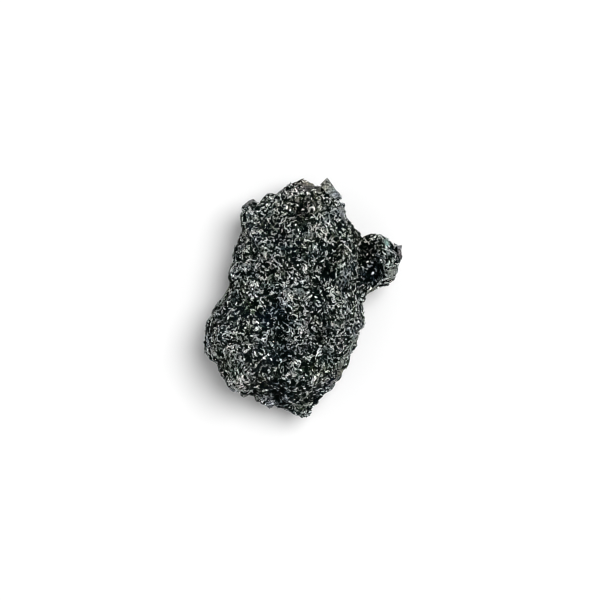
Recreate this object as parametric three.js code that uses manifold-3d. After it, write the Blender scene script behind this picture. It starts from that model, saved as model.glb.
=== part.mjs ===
// A rough piece of seraphinite to hold in the hand: one lumpy block of scaly chlorite, chipped flat in
// places, with an angular knob grown on its right side and a few thin plates standing out of its edge.
// It lies on a small flat spot. X runs to the right, Y to the far end and Z up, in millimetres.
import * as THREE from "three";
import { ImprovedNoise } from "three/addons/math/ImprovedNoise.js";
import { mergeVertices } from "three/addons/utils/BufferGeometryUtils.js";
import Module from "manifold-3d";

const wasm = await Module();
wasm.setup();

// The whole stone, from its left edge to the knob's tip and from end to end
const WIDTH = 43.3;
const LENGTH = 52.8;

// The block: its outline at the waist, anticlockwise from the foot of the knob, with a corner at each
// break, the waist's height, how far it sways up and down, the crown's rise and the underside's drop
const BLOCK = {
  detail: 18,
  centre: [-2.5, 0],
  outline: [
    [13.9, 0.4], [14.4, 7.0], [13.2, 13.8], [12.4, 15.0], [10.5, 16.8], [9.7, 19.6], [9.3, 20.7],
    [8.0, 21.0], [6.5, 21.8], [2.5, 24.9], [1.6, 25.6], [-0.7, 26.4], [-1.6, 25.5], [-2.9, 25.1],
    [-4.4, 23.8], [-7.4, 23.1], [-9.8, 21.0], [-11.6, 20.7], [-13.2, 19.4], [-13.7, 13.4], [-14.7, 11.7],
    [-15.3, 8.6], [-16.1, 3.4], [-17.1, 1.1], [-18.8, -1.1], [-19.9, -3.3], [-20.8, -5.1], [-21.5, -7.9],
    [-21.6, -11.4], [-20.7, -12.8], [-19.0, -14.2], [-17.3, -16.7], [-15.3, -20.4], [-12.9, -21.5],
    [-11.3, -20.9], [-10.1, -22.0], [-7.7, -23.9], [-6.1, -23.5], [-3.0, -24.9], [-1.2, -25.3],
    [-0.1, -26.4], [1.7, -25.6], [2.0, -24.3], [3.8, -22.3], [5.6, -20.7], [8.1, -17.8], [9.4, -15.6],
    [10.5, -14.2], [10.6, -12.1], [12.5, -9.0], [12.7, -7.5], [13.7, -5.6], [13.8, -2.6],
  ],
  waist: 9,
  sway: 2.2,
  rise: 12,
  drop: 10.2,
  flats: 80,
  chipDepth: 0.15,
};

// The knob: lower than the block, and as broad at its foot, which the block swallows
const KNOB = {
  detail: 8,
  centre: [14.2, 7.6],
  outline: [
    [21.7, 8.4], [21.7, 11.6], [19.6, 12.6], [18.7, 13.4], [17.1, 14.1], [15.4, 14.4], [13.8, 14.4],
    [9.5, 13.0], [6.5, 8.0], [9.5, 2.0], [14.2, 0.8], [16.8, 2.2], [19.2, 3.5], [20.2, 4.3], [20.8, 6.9],
  ],
  waist: 9.5,
  sway: 1,
  rise: 6,
  drop: 7.5,
  flats: 17,
  chipDepth: 0.26,
};

// Plates whose broken corners stand out of the edge: the corners of each, its thickness, the height of
// its middle and its slopes to the right and to the far end
const PLATES = [
  {
    outline: [[8.4, 21.9], [5.4, 26.2], [3.6, 24.7], [1.5, 24.0], [0.8, 18.5], [6.5, 16.5], [8.0, 20.9]],
    thickness: 3.4,
    height: 13.4,
    slopeRight: 0.3,
    slopeFar: -0.25,
  },
  {
    outline: [[-10.1, 21.4], [-11.6, 21.5], [-13.2, 20.1], [-13.4, 17.6], [-8.5, 16.0], [-8.0, 20.2]],
    thickness: 2.0,
    height: 12.4,
    slopeRight: 0.25,
    slopeFar: -0.3,
  },
  {
    outline: [[10.6, 16.8], [9.7, 19.5], [9.3, 20.8], [8.0, 21.2], [5.0, 17.0], [9.0, 13.0]],
    thickness: 3.0,
    height: 10.4,
    slopeRight: -0.2,
    slopeFar: -0.1,
  },
  {
    outline: [[13.2, 13.8], [10.2, 17.1], [6.0, 14.0], [8.0, 8.5], [13.4, 9.0]],
    thickness: 2.2,
    height: 12.6,
    slopeRight: -0.3,
    slopeFar: -0.1,
  },
  {
    outline: [[21.7, 8.4], [21.7, 11.6], [19.6, 12.6], [15.5, 12.8], [15.0, 8.0], [18.0, 5.5]],
    thickness: 2.8,
    height: 11.6,
    slopeRight: 0.2,
    slopeFar: 0.1,
  },
  {
    outline: [[-12.9, -21.5], [-15.3, -20.3], [-16.0, -15.5], [-9.5, -14.0], [-10.8, -20.2]],
    thickness: 3.0,
    height: 10.2,
    slopeRight: -0.12,
    slopeFar: 0.2,
  },
  {
    outline: [
      [-7.7, -23.9], [-6.1, -23.5], [-3.0, -24.9], [-1.2, -25.3], [-0.1, -26.4], [1.7, -25.6],
      [2.0, -24.3], [4.6, -21.6], [1.0, -17.0], [-6.0, -18.0],
    ],
    thickness: 3.6,
    height: 8.2,
    slopeRight: 0.1,
    slopeFar: 0.18,
  },
];
const PLATE_RIM_THICKNESS = 0.7;
const PLATE_BEVEL = 0.6;

// Side profiles from the waist to the crown and to the underside, as [share of radius, share of height]
const CROWN_PROFILE = [[1, 0], [0.99, 0.3], [0.94, 0.6], [0.83, 0.82], [0.62, 0.94], [0.32, 0.99], [0, 1]];
const UNDERSIDE_PROFILE = [
  [1, 0], [0.97, 0.25], [0.87, 0.5], [0.7, 0.74], [0.48, 0.91], [0.24, 0.98], [0, 1],
];

// Swellings and hollows of the upper side: [x, y] of the middle, radius, and rise, which is negative in
// a hollow
const SWELLINGS = [
  { at: [3.5, 1.5], radius: 7.5, rise: 0.7 },
  { at: [-1.9, 0.5], radius: 2.4, rise: 1.3 },
  { at: [-13.5, -16.0], radius: 3.8, rise: 1.5 },
  { at: [-12.5, -7.5], radius: 5.5, rise: 0.9 },
  { at: [-11.0, 13.0], radius: 4.5, rise: 0.9 },
  { at: [-2.1, 21.1], radius: 2.2, rise: 0.9 },
  { at: [-8.9, -11.9], radius: 2.0, rise: 0.8 },
  { at: [10.4, -6.8], radius: 1.8, rise: 0.8 },
  { at: [4.3, -18.0], radius: 2.4, rise: 0.9 },
  { at: [3.4, -7.7], radius: 2.1, rise: -1.5 },
  { at: [-14.6, 2.0], radius: 2.4, rise: -1.3 },
  { at: [-4.5, -21.0], radius: 4.2, rise: -2.0 },
  { at: [-9.8, -18.3], radius: 2.0, rise: -1.1 },
  { at: [15.6, 5.9], radius: 2.4, rise: -2.4 },
  { at: [14.6, 11.6], radius: 1.9, rise: -1.3 },
  { at: [-5.4, 13.4], radius: 1.7, rise: -1.1 },
  { at: [-2.3, 9.9], radius: 1.7, rise: -1.1 },
  { at: [6.1, -13.0], radius: 1.8, rise: -1.2 },
  { at: [10.6, 2.5], radius: 1.6, rise: -1.0 },
  { at: [-10.4, 9.9], radius: 1.7, rise: -0.8 },
];

// Furrows and ridges of the upper side: the line that each follows, its half width, and its rise, which
// is negative in a furrow
const FOLDS = [
  { line: [[-6.2, -0.5], [-5.2, -6.0], [-4.6, -11.5], [-3.8, -15.0]], halfWidth: 1.8, rise: -1.8 },
  { line: [[-3.8, -15.0], [-7.0, -19.5]], halfWidth: 1.8, rise: -1.4 },
  { line: [[-17.5, -1.5], [-12.0, -0.5], [-8.5, -3.5]], halfWidth: 1.4, rise: -1.1 },
  { line: [[12.8, 13.0], [14.4, 9.0], [14.6, 4.0]], halfWidth: 1.9, rise: -2.0 },
  { line: [[7.7, 14.5], [6.4, 9.5], [5.2, 5.0]], halfWidth: 1.5, rise: -1.7 },
  { line: [[-0.1, 21.0], [-0.6, 15.8]], halfWidth: 1.6, rise: -1.6 },
  { line: [[9.7, 14.4], [9.1, 5.6]], halfWidth: 1.4, rise: 1.1 },
  { line: [[3.4, 18.8], [4.5, 13.0]], halfWidth: 1.6, rise: 1.3 },
  { line: [[-3.4, 16.3], [0.2, 11.8]], halfWidth: 1.3, rise: 0.9 },
  { line: [[-9.0, 12.4], [-5.2, 8.4]], halfWidth: 1.3, rise: 0.9 },
  { line: [[-0.8, 5.0], [3.4, 6.8]], halfWidth: 1.3, rise: 0.9 },
  { line: [[5.2, 2.6], [9.6, -2.0], [8.4, -4.5], [6.7, -10.1]], halfWidth: 1.7, rise: 1.4 },
  { line: [[1.1, -4.0], [-2.0, -9.0]], halfWidth: 1.5, rise: 1.2 },
  { line: [[-0.4, -13.2], [-3.7, -17.6]], halfWidth: 1.4, rise: 1.1 },
];
const KNOB_TIP_RISE = 0.45;

// Layers of the scaly rock, which break into low ledges round the sides
const LAYER_NORMAL = new THREE.Vector3(0.17, -0.12, 1).normalize();
const LAYER_SPACING = 4.6;
const LAYER_WAVES = { size: 9, height: 1.8, shift: 5 };
const LEDGE_DEPTH = 0.8;
const LEDGE_DROP = 0.4;

// Roughness of every surface: long waves, and short knobbles with creases between them, whose mean height
// is a share of the whole
const WAVES = { size: 7, height: 0.9, shift: 0 };
const KNOBBLES = { size: 3.4, height: 1.5, shift: 11, mean: 0.2 };

// How far a lump reaches past its outline before its sides are broken off there
const OVERREACH = 1.025;

// Chips: how their places and depths stray from an even spiral, the share of their depth that is left at
// the waist, where the outline has the breaks already, and the shares of the way up where it grows back
const CHIP_PLACE_STEP = 0.7;
const CHIP_DEPTH_STEP = 1.3;
const CHIP_SHIFT = 0.35;
const WAIST_CHIPPING = 0.3;
const WAIST_BAND = [0.05, 0.4];

// The waist sways up and down twice round the stone, early or late by this much noise
const SWAY_LAPS = 2;
const SWAY_STRAY = { size: 0.9, height: 3, shift: 0 };

// Corners closer than this are one corner, on the unit ball and on a solid in millimetres
const BALL_GRID = 1e-5;
const SOLID_GRID = 1e-4;

const QUARTER_TURN = Math.PI / 2;
const GOLDEN_TURN = Math.PI * (3 - Math.sqrt(5));

const perlin = new ImprovedNoise();

function noiseAt(point, { size, shift }) {
  return perlin.noise(point.x / size + shift, point.y / size + shift, point.z / size + shift);
}

function waveAt(point, waves) {
  return waves.height * noiseAt(point, waves);
}

// How far the outline lies from its centre in the direction of an angle.
function outlineReach(outline, [cx, cy], angle) {
  const dx = Math.cos(angle);
  const dy = Math.sin(angle);
  let reach = 0;
  outline.forEach(([x0, y0], i) => {
    const [x1, y1] = outline[(i + 1) % outline.length];
    const [ex, ey] = [x1 - x0, y1 - y0];
    const turn = dx * ey - dy * ex;
    const [ax, ay] = [x0 - cx, y0 - cy];
    const along = (ax * ey - ay * ex) / turn;
    const share = (ax * dy - ay * dx) / turn;
    if (along > 0 && share >= 0 && share <= 1) reach = Math.max(reach, along);
  });
  return reach;
}

// Flats chipped off a unit ball: each faces a way of its own, spread in a spiral, and has its own depth.
function spiralOfFlats(count, chipDepth) {
  return Array.from({ length: count }, (_, i) => {
    const z = 1 - (2 * i + 1) / count;
    const across = Math.sqrt(1 - z * z);
    const turn = GOLDEN_TURN * i + perlin.noise(CHIP_PLACE_STEP * i + CHIP_SHIFT, 0.5, count);
    const depth = chipDepth * (0.5 + perlin.noise(0.5, CHIP_DEPTH_STEP * i + CHIP_SHIFT, count));
    const normal = new THREE.Vector3(across * Math.cos(turn), across * Math.sin(turn), z);
    return { normal, distance: 1 - depth };
  });
}

// How much of the unit ball's radius the flats leave in a direction.
function chippedShare(direction, flats) {
  return flats.reduce((share, { normal, distance }) => {
    const facing = direction.dot(normal);
    return facing > 0 ? Math.min(share, distance / facing) : share;
  }, 1);
}

// A side profile in real sizes, so that its points can be spaced evenly.
function profileCurve(profile, radius, height) {
  return new THREE.SplineCurve(profile.map(([r, h]) => new THREE.Vector2(r * radius, h * height)));
}

function distanceToLine(x, y, line) {
  const point = new THREE.Vector3(x, y, 0);
  const nearest = new THREE.Vector3();
  const distances = line.slice(1).map((end, i) => {
    const segment = new THREE.Line3(new THREE.Vector3(...line[i], 0), new THREE.Vector3(...end, 0));
    return segment.closestPointToPoint(point, true, nearest).distanceTo(point);
  });
  return Math.min(...distances);
}

function reliefAt(x, y) {
  let rise = 0;
  for (const { at, radius, rise: height } of SWELLINGS) {
    rise += height * Math.exp(-((x - at[0]) ** 2 + (y - at[1]) ** 2) / radius ** 2);
  }
  for (const { line, halfWidth, rise: height } of FOLDS) {
    rise += height * Math.exp(-((distanceToLine(x, y, line) / halfWidth) ** 2));
  }
  return rise;
}

// How far a layer's broken edge falls back: it grows out up each layer and steps in at the next.
function ledgeAt(point) {
  const depth = (point.dot(LAYER_NORMAL) + waveAt(point, LAYER_WAVES)) / LAYER_SPACING;
  const share = depth - Math.floor(depth);
  const out = share < 1 - LEDGE_DROP ? share / (1 - LEDGE_DROP) : (1 - share) / LEDGE_DROP;
  return LEDGE_DEPTH * (out - 1);
}

function roughnessAt(point) {
  return waveAt(point, WAVES) + KNOBBLES.height * (Math.abs(noiseAt(point, KNOBBLES)) - KNOBBLES.mean);
}

// A unit ball of even triangles that share their corners.
function ball(detail) {
  const geometry = new THREE.IcosahedronGeometry(1, detail);
  geometry.deleteAttribute("normal");
  geometry.deleteAttribute("uv");
  return mergeVertices(geometry, BALL_GRID);
}

// The way out of an egg shape at a place that lies dx, dy, dz from its middle.
function eggNormal(dx, dy, dz, radius, height) {
  return new THREE.Vector3(dx / radius ** 2, dy / radius ** 2, dz / height ** 2).normalize();
}

// Where a direction from the ball's middle ends on the lump, chipped and swayed, and the way out there.
function placeOnLump(direction, shaping) {
  const { centre, outline, waist, sway, rise, drop, tilt, chips, radius, upper, lower } = shaping;
  const angle = Math.atan2(direction.y, direction.x);
  const latitude = Math.asin(THREE.MathUtils.clamp(direction.z, -1, 1)) / QUARTER_TURN;
  const chipping = THREE.MathUtils.smoothstep(Math.abs(latitude), ...WAIST_BAND);
  const chipped = THREE.MathUtils.lerp(WAIST_CHIPPING, 1, chipping) * (1 - chippedShare(direction, chips));
  const left = 1 - chipped;
  const { x: profileReach, y: height } = (latitude > 0 ? upper : lower).getPointAt(Math.abs(latitude));
  const reach = OVERREACH * outlineReach(outline, centre, angle) * (profileReach / radius) * left;
  const dx = reach * Math.cos(angle);
  const dy = reach * Math.sin(angle);
  const lift = (reliefAt(centre[0] + dx, centre[1] + dy) + tilt * dx) * (height / rise);
  const climb = latitude > 0 ? height * left + lift : -height * left;
  const swayed = sway * Math.sin(SWAY_LAPS * angle + waveAt(direction, SWAY_STRAY));
  const z = waist + swayed * Math.cos(latitude * QUARTER_TURN) + climb;
  const outward = eggNormal(dx, dy, climb, radius, latitude > 0 ? rise : drop);
  return { point: new THREE.Vector3(centre[0] + dx, centre[1] + dy, z), outward };
}

// Breaks a point's side off where it would pass the outline.
function keepInside(point, outline, [cx, cy]) {
  const dx = point.x - cx;
  const dy = point.y - cy;
  const inside = Math.min(1, outlineReach(outline, [cx, cy], Math.atan2(dy, dx)) / Math.hypot(dx, dy));
  point.x = cx + dx * inside;
  point.y = cy + dy * inside;
}

// A closed lump of rock: a ball of even triangles, chipped flat, drawn out to its outline and profiles
// and roughened. Seen from above it doesn't pass its outline.
function lump({ detail, flats, chipDepth, ...form }, tilt = 0) {
  const { outline, centre, rise, drop } = form;
  const geometry = ball(detail);
  const position = geometry.attributes.position;
  const reaches = outline.map(([x, y]) => Math.hypot(x - centre[0], y - centre[1]));
  const radius = reaches.reduce((sum, reach) => sum + reach, 0) / reaches.length;
  const upper = profileCurve(CROWN_PROFILE, radius, rise);
  const lower = profileCurve(UNDERSIDE_PROFILE, radius, drop);
  const shaping = { ...form, tilt, radius, upper, lower, chips: spiralOfFlats(flats, chipDepth) };
  const direction = new THREE.Vector3();
  for (let i = 0; i < position.count; i += 1) {
    const { point, outward } = placeOnLump(direction.fromBufferAttribute(position, i), shaping);
    const ledge = ledgeAt(point) * Math.hypot(outward.x, outward.y);
    point.addScaledVector(outward, roughnessAt(point) + ledge);
    keepInside(point, outline, centre);
    position.setXYZ(i, point.x, point.y, point.z);
  }
  return geometry;
}

// A plate that thins to a broken rim, sloped about its middle.
function plate({ outline, thickness, height, slopeRight, slopeFar }) {
  const shape = new THREE.Shape(outline.map(([x, y]) => new THREE.Vector2(x, y)));
  const geometry = new THREE.ExtrudeGeometry(shape, {
    depth: PLATE_RIM_THICKNESS,
    bevelThickness: (thickness - PLATE_RIM_THICKNESS) / 2,
    bevelSize: PLATE_BEVEL,
    bevelOffset: -PLATE_BEVEL,
    bevelSegments: 1,
  });
  const middleX = outline.reduce((sum, [x]) => sum + x, 0) / outline.length;
  const middleY = outline.reduce((sum, [, y]) => sum + y, 0) / outline.length;
  const slope = new THREE.Matrix4().set(
    1, 0, 0, 0,
    0, 1, 0, 0,
    slopeRight, slopeFar, 1, height - PLATE_RIM_THICKNESS / 2 - slopeRight * middleX - slopeFar * middleY,
    0, 0, 0, 1,
  );
  return geometry.applyMatrix4(slope);
}

function toSolid(geometry) {
  const corners = (geometry.index ? geometry.toNonIndexed() : geometry).getAttribute("position");
  const merged = mergeVertices(new THREE.BufferGeometry().setAttribute("position", corners), SOLID_GRID);
  return new wasm.Manifold(new wasm.Mesh({
    numProp: 3,
    vertProperties: merged.attributes.position.array,
    triVerts: new Uint32Array(merged.index.array),
  }));
}

function toGeometry(solid) {
  const { vertProperties, triVerts } = solid.getMesh();
  const geometry = new THREE.BufferGeometry()
    .setAttribute("position", new THREE.BufferAttribute(new Float32Array(vertProperties), 3))
    .setIndex(new THREE.BufferAttribute(new Uint32Array(triVerts), 1));
  geometry.computeVertexNormals();
  return geometry;
}

// Everything below the surface that the stone lies on.
function ground() {
  const size = 2 * LENGTH;
  return new THREE.BoxGeometry(size, size, size).translate(0, 0, -size / 2);
}

// The finished stone, drawn to its real width and length, with the middle of its box over the origin.
function stoneGeometry() {
  const whole = PLATES.reduce(
    (solid, item) => solid.add(toSolid(plate(item))),
    toSolid(lump(BLOCK)).add(toSolid(lump(KNOB, KNOB_TIP_RISE))),
  ).subtract(toSolid(ground()));
  const geometry = toGeometry(whole);
  geometry.computeBoundingBox();
  const { min, max } = geometry.boundingBox;
  geometry.translate(-(min.x + max.x) / 2, -(min.y + max.y) / 2, -min.z);
  return geometry.scale(WIDTH / (max.x - min.x), LENGTH / (max.y - min.y), 1);
}

const material = new THREE.MeshStandardMaterial({ color: 0x454b48, roughness: 0.55, metalness: 0 });
const mesh = new THREE.Mesh(stoneGeometry(), material);
mesh.name = "seraphinite_stone";

const group = new THREE.Group();
group.add(mesh);

export default group;
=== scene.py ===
"""Looks for a rough piece of seraphinite: a dark, grey-green stone of small bright scales on a pale floor.

The stone is built in three steps. A finely meshed matrix takes the place of the plain solid. Thousands of
small scales then grow out of it, sorted into joined meshes by how bright they are. Procedural materials
colour both. Lengths in this script are millimetres until a mesh is made.
"""

import itertools
import math
from collections import namedtuple

import bpy
import numpy as np
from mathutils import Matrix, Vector


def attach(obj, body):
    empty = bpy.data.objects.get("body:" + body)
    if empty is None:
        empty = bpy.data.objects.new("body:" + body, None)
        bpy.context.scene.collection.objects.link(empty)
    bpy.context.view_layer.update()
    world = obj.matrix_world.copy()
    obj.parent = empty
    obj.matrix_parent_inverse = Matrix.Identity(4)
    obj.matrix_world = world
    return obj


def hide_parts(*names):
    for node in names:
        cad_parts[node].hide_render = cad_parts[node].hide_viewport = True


MM = 0.001
SHORTEST = 1e-12
WHITE = (1.0, 1.0, 1.0)
STONE_NODE = "seraphinite_stone"
STONE_BODY = "root"

# The photograph, a square taken from straight above: what it shows at the height of the stone's middle.
VIEW_WIDTH = 132.0
VIEW_CENTRE = (-0.55, -0.22)
VIEW_HEIGHT = 9.0
LENS = 90.0
SENSOR = 36.0
NEAREST_SEEN = 10.0
FARTHEST_SEEN = 10000.0
PIXEL_FILTER = 0.8

# The noise that shapes the stone: how its cells are hashed, and its strength.
AXIS_FACTORS = (73856093, 19349663, 83492791)
SEED_FACTOR = 2654435761
MIXING_FACTOR = 1274126177
MIXING_SHIFTS = (13, 16)
WORD = 0xFFFFFFFF
GRADIENT_COUNT = 64
GRADIENT_SEED = 3
LATTICE_SHIFT = 100.0
NOISE_GAIN = 1.6
RIDGE_TOP = 0.3
GRAIN_STRAY = 0.45
SLOPE_STEP = 0.05

# The matrix between the scales: its mesh, the share of its triangles that is kept, how far it is smoothed and
# drawn in, its added relief, and its map.
VOXEL = 0.25
KEPT_SHARE = 0.84
SMOOTHING_ROUNDS = 3
MATRIX_INSET = 0.36
RELIEF_ROUNDS = 120
NORMAL_ROUNDS = 8
MATRIX_RELIEF = (
    # wavelength, height, ridged
    (3.1, 0.3, False),
    (1.7, 0.2, True),
    (0.5, 0.08, False),
)
MAP_COLUMNS = 3
MAP_ROWS = 2
MAP_MARGIN = 0.02

# The broken faces of the matrix: how wide they are and how steeply they lean.
BREAKS = ((4.6, 0.1), (1.9, 0.2))
BREAK_SEED = 60

# The height of a face's normal: where the sides start, what is seen from above, what can lie under a cleavage
# face, and what looks down.
SIDE_START = 0.42
LOOKS_UP = 0.25
FACET_UPRIGHT = 0.45
LOOKS_DOWN = -0.6

# The sides, where the layers of the stone are seen from their edge: how the scales crowd there and thin out
# under the stone, how much smaller and more level they are, how much foliage is lost, and the layers.
SIDE_CROWDING = 0.8
UNDERSIDE_THINNING = 1.3
SIDE_FINENESS = 0.15
SIDE_LEVELNESS = 1.6
SIDE_FOLIAGE_LOSS = 0.5
STRATA_STRETCH = (0.3, 0.3, 1.3)
STRATA_SIZE = 1.1
STRATA_HEIGHT = 0.3
STRATA_SEED = 80

# The foliage: wavy crests that the brighter scales grow along, how far a scale moves to one at most, and how
# much its way strays from the crest's.
FOLIAGE_SIZE = 0.72
FOLIAGE_SEED = 40
FOLIAGE_HEIGHT = 0.7
LEAST_STEEPNESS = 0.2
CREST_REACH = 0.32
RUN_STRAY = 0.25

# The scales, from the darkest set to the brightest. Each set is one joined mesh.
# count, blades: how many scales there are, and the share that are blades, not plates
# crested, lift: how much of the way to a crest they move, and how far they stand out
# size, vary: half their length, and how much it varies
# dark, light: their darkest and their lightest colour
# roughness, specular, gloss: how rough they are, how much they shine, and the colour of the shine
# cuts, grain, hue: how many cuts are along each, and how much of the grain and of the stains they show
SEED = 11
ScaleSet = namedtuple(
    "ScaleSet",
    "name count blades crested lift size vary dark light roughness specular cuts gloss grain hue",
    defaults=(3, WHITE, 1.0, 1.0),
)
SCALE_SETS = (
    ScaleSet(
        "dark_scales", count=15000, cuts=2, blades=0.5, crested=0.0, lift=-0.12, size=0.37, vary=0.4,
        dark=(0.0, 0.0004, 0.0002), light=(0.0012, 0.0032, 0.0025),
        roughness=0.15, specular=0.008, gloss=(0.5, 1.0, 0.8), hue=2.0,
    ),
    ScaleSet(
        "dim_scales", count=15000, cuts=2, blades=0.7, crested=0.6, lift=-0.05, size=0.38, vary=0.45,
        dark=(0.005, 0.0088, 0.0076), light=(0.052, 0.0655, 0.059),
        roughness=0.2, specular=0.05, gloss=(0.7, 1.0, 0.88), hue=1.6,
    ),
    ScaleSet(
        "flakes", count=190, blades=0.0, crested=0.0, lift=0.05, size=0.55, vary=0.3,
        dark=(0.048, 0.06, 0.055), light=(0.16, 0.178, 0.171), roughness=0.3, specular=0.4,
    ),
    ScaleSet(
        "grey_scales", count=6700, blades=0.85, crested=0.9, lift=0.05, size=0.39, vary=0.45,
        dark=(0.048, 0.061, 0.055), light=(0.19, 0.212, 0.202),
        roughness=0.22, specular=0.3, hue=0.85,
    ),
    ScaleSet(
        "silver_scales", count=4900, blades=0.85, crested=0.95, lift=0.08, size=0.4, vary=0.4,
        dark=(0.192, 0.214, 0.205), light=(0.575, 0.61, 0.596),
        roughness=0.25, specular=0.4, hue=0.35,
    ),
    # Near-white scales on the crests: their white is a painted glint, and their shine is real.
    ScaleSet(
        "sparkling_scales", count=320, blades=0.3, crested=1.0, lift=0.15, size=0.3, vary=0.15,
        dark=(0.72, 0.75, 0.74), light=(0.95, 0.97, 0.965),
        roughness=0.15, specular=0.7, grain=0.25, hue=0.3,
    ),
)

# The set of the brightest flakes, which lie at the places listed further down: near-white, a painted glint,
# on flakes that also shine.
PAINTED_GLINT_SET = ScaleSet(
    "sparkles", count=0, blades=0.3, crested=0.0, lift=0.4, size=0.45, vary=0.1,
    dark=(0.9, 0.92, 0.91), light=(0.98, 0.98, 0.98),
    roughness=0.15, specular=0.7, grain=0.25, hue=0.3,
)
HIGHER_FIRST = 0.05

# What makes a scale lighter: chance, evened out over cells and calmer on the sides; how far its place stands
# out and how level it is, which paint shade into hollows and onto steep faces and light onto rises and level
# faces; the blotches, partly tone and partly painted shade; and patches (size, strength) all over and on the
# sides.
EVEN_CELL = 1.2
SPREAD_ON_SIDES = 0.56
# Painted shade and light: darker scales in hollows and on steep faces, lighter ones on rises and level faces.
RELIEF_SHADE_SHARE = 1.0
LEVEL_LIGHT_SHARE = 0.15
TONE_AND_SHADE_ON_SIDES = 0.3
PATCHES = ((5.0, 0.12), (1.3, 0.12))
PATCH_SEED = SEED + 20
SIDE_PATCHES = ((9.0, 0.6), (3.5, 0.45))
SIDE_PATCH_SEED = SEED + 30

# The scales' shape: limits of half their length and half their width, how far their tips rise, how steeply
# they stand at most, and how their height varies.
LENGTH_LIMITS = (0.12, 0.72)
WIDTH_LIMITS = (0.08, 0.24)
TIP_RISE = 0.11
STEEPEST_TILT = 0.8
LIFT_STRAY = (-0.06, 0.1)

# A blade has a flat top and a keel. Spans of its width and bend as shares of its length, and of its depth,
# the lean of its keel, the stray of its spine and its swells as shares of its width.
BLADE_WIDTHS = (0.26, 0.5)
BLADE_DEPTHS = (0.6, 1.1)
TOP_RISE = 0.5
KEEL_DROP = 1.4
KEEL_LEANS = (-0.6, 0.6)
BENDS = (-0.9, 0.9)
BEND_MIDDLE = 0.3
SPINE_STRAYS = (-0.5, 0.5)
SWELLS = (0.6, 1.2)

# A plate is a thin slab, shorter than a blade: spans of its width as a share of its length, of its thickness,
# and of its corners' turn and reach.
PLATE_SIZE = 0.8
PLATE_WIDTHS = (0.4, 0.9)
PLATE_THICKNESSES = (0.06, 0.13)
CORNER_STRAYS = (-0.35, 0.35)
CORNER_REACHES = (0.6, 1.25)

# The lines along a scale, the range of their start, and how far a face reaches in its cell of the map.
STRAND_SIZE = 0.11
STRAND_RANGE = 50.0
CELL_REACH = 0.504

# Darker and lighter blotches of the face that is photographed: partly the stone's own tone, partly painted
# shade in its hollows and painted light on its rises.
TONE_AND_SHADE_BLOTCHES = (
    # x, y, radius, how much lighter
    (14.3, 11.2, 2.2, -0.78), (15.4, 5.6, 2.5, -0.58), (12.6, 8.5, 1.6, 0.28), (-0.2, 18.5, 2.5, -0.4),
    (4.6, 8.2, 2.5, -0.42), (3.2, 10.8, 1.8, 0.18), (-15.2, 2.0, 2.2, -0.3), (-13.8, 8.4, 3.2, 0.2),
    (-5.0, -4.2, 3.2, -0.64), (3.4, -7.7, 2.0, 0.15), (-4.6, -12.0, 2.6, -0.53), (-9.7, -18.9, 2.4, -0.47),
    (-4.6, -20.4, 3.2, -0.57), (0.5, -23.9, 3.0, -0.1), (-7.8, -22.7, 1.6, 0.62), (-5.3, 13.7, 2.0, -0.28),
    (-11.5, -3.0, 2.6, -0.36), (3.9, 14.5, 2.2, 0.58), (-2.8, 0.5, 2.4, 0.8), (6.8, 0.9, 2.6, 0.3),
    (8.6, -1.2, 2.2, 0.52), (0.6, 5.7, 2.2, 0.3), (0.2, -6.5, 2.4, 0.72), (-2.0, -15.2, 2.4, 0.42),
    (-13.4, -17.5, 2.6, 0.48), (4.0, -22.4, 1.6, -1.8), (4.2, -19.4, 2.0, 0.3), (-20.4, -12.0, 2.8, 0.6),
    (-8.3, -11.2, 2.2, 0.05), (-7.1, 10.0, 2.2, 0.54), (-11.0, 17.6, 3.0, 0.36),
    (-15.0, -8.0, 3.0, 0.06), (6.7, -15.8, 2.0, -0.35), (-1.4, 8.4, 2.8, -0.34), (9.8, -12.0, 2.4, 0.45),
    (19.3, 8.4, 1.8, 0.3), (-1.8, 23.0, 1.8, 0.15), (-13.1, -18.0, 1.8, 0.38), (19.4, 5.6, 1.2, 0.75),
    (0.6, 0.7, 1.6, 0.5), (6.9, -9.2, 1.6, 0.45), (-6.7, 17.8, 1.4, 0.6), (11.9, 15.0, 1.2, -1.35),
    (5.4, 21.4, 1.6, 1.15), (7.6, 20.7, 1.2, 0.95), (-0.6, -18.4, 1.8, -1.05), (-8.4, -14.2, 1.8, -0.42),
    (-8.5, 4.2, 1.6, 0.55), (-10.6, 10.6, 1.6, -0.45), (-18.8, -11.4, 1.4, -0.4), (-3.6, -16.9, 1.3, 0.45),
    (1.0, -13.6, 1.3, -0.35), (12.9, 13.2, 1.1, -0.4), (14.6, 1.5, 1.3, -0.5), (3.6, -5.1, 1.2, 0.4),
    (3.6, 18.7, 1.2, -0.45),
)

# The brightest flakes of that face, whose white is a painted glint: places.
PAINTED_GLINT_PLACES = (
    (-0.3, 24.0), (-1.3, 23.2), (1.8, 21.4), (0.2, 19.0), (2.6, 19.1), (2.1, 17.3), (1.2, 22.6),
    (-1.1, 14.7), (-3.3, 19.4), (-2.6, 18.9), (14.3, 9.7), (14.2, 8.1), (15.3, 5.3), (15.5, 5.7),
    (16.6, 9.7), (17.1, 8.5), (17.4, 8.1), (19.9, 11.6), (16.6, 2.6), (14.8, 2.4), (12.8, 0.6),
    (-10.2, -11.4), (-8.8, -11.9), (-8.1, -12.6), (-7.4, -12.0), (-6.8, -12.8), (3.0, -11.9), (3.4, -11.5),
    (0.1, -19.1), (-14.2, -1.1), (-14.6, 5.1), (-12.0, 3.1), (-9.8, 0.7), (-9.8, -5.1), (-12.2, -6.2),
)

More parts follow.
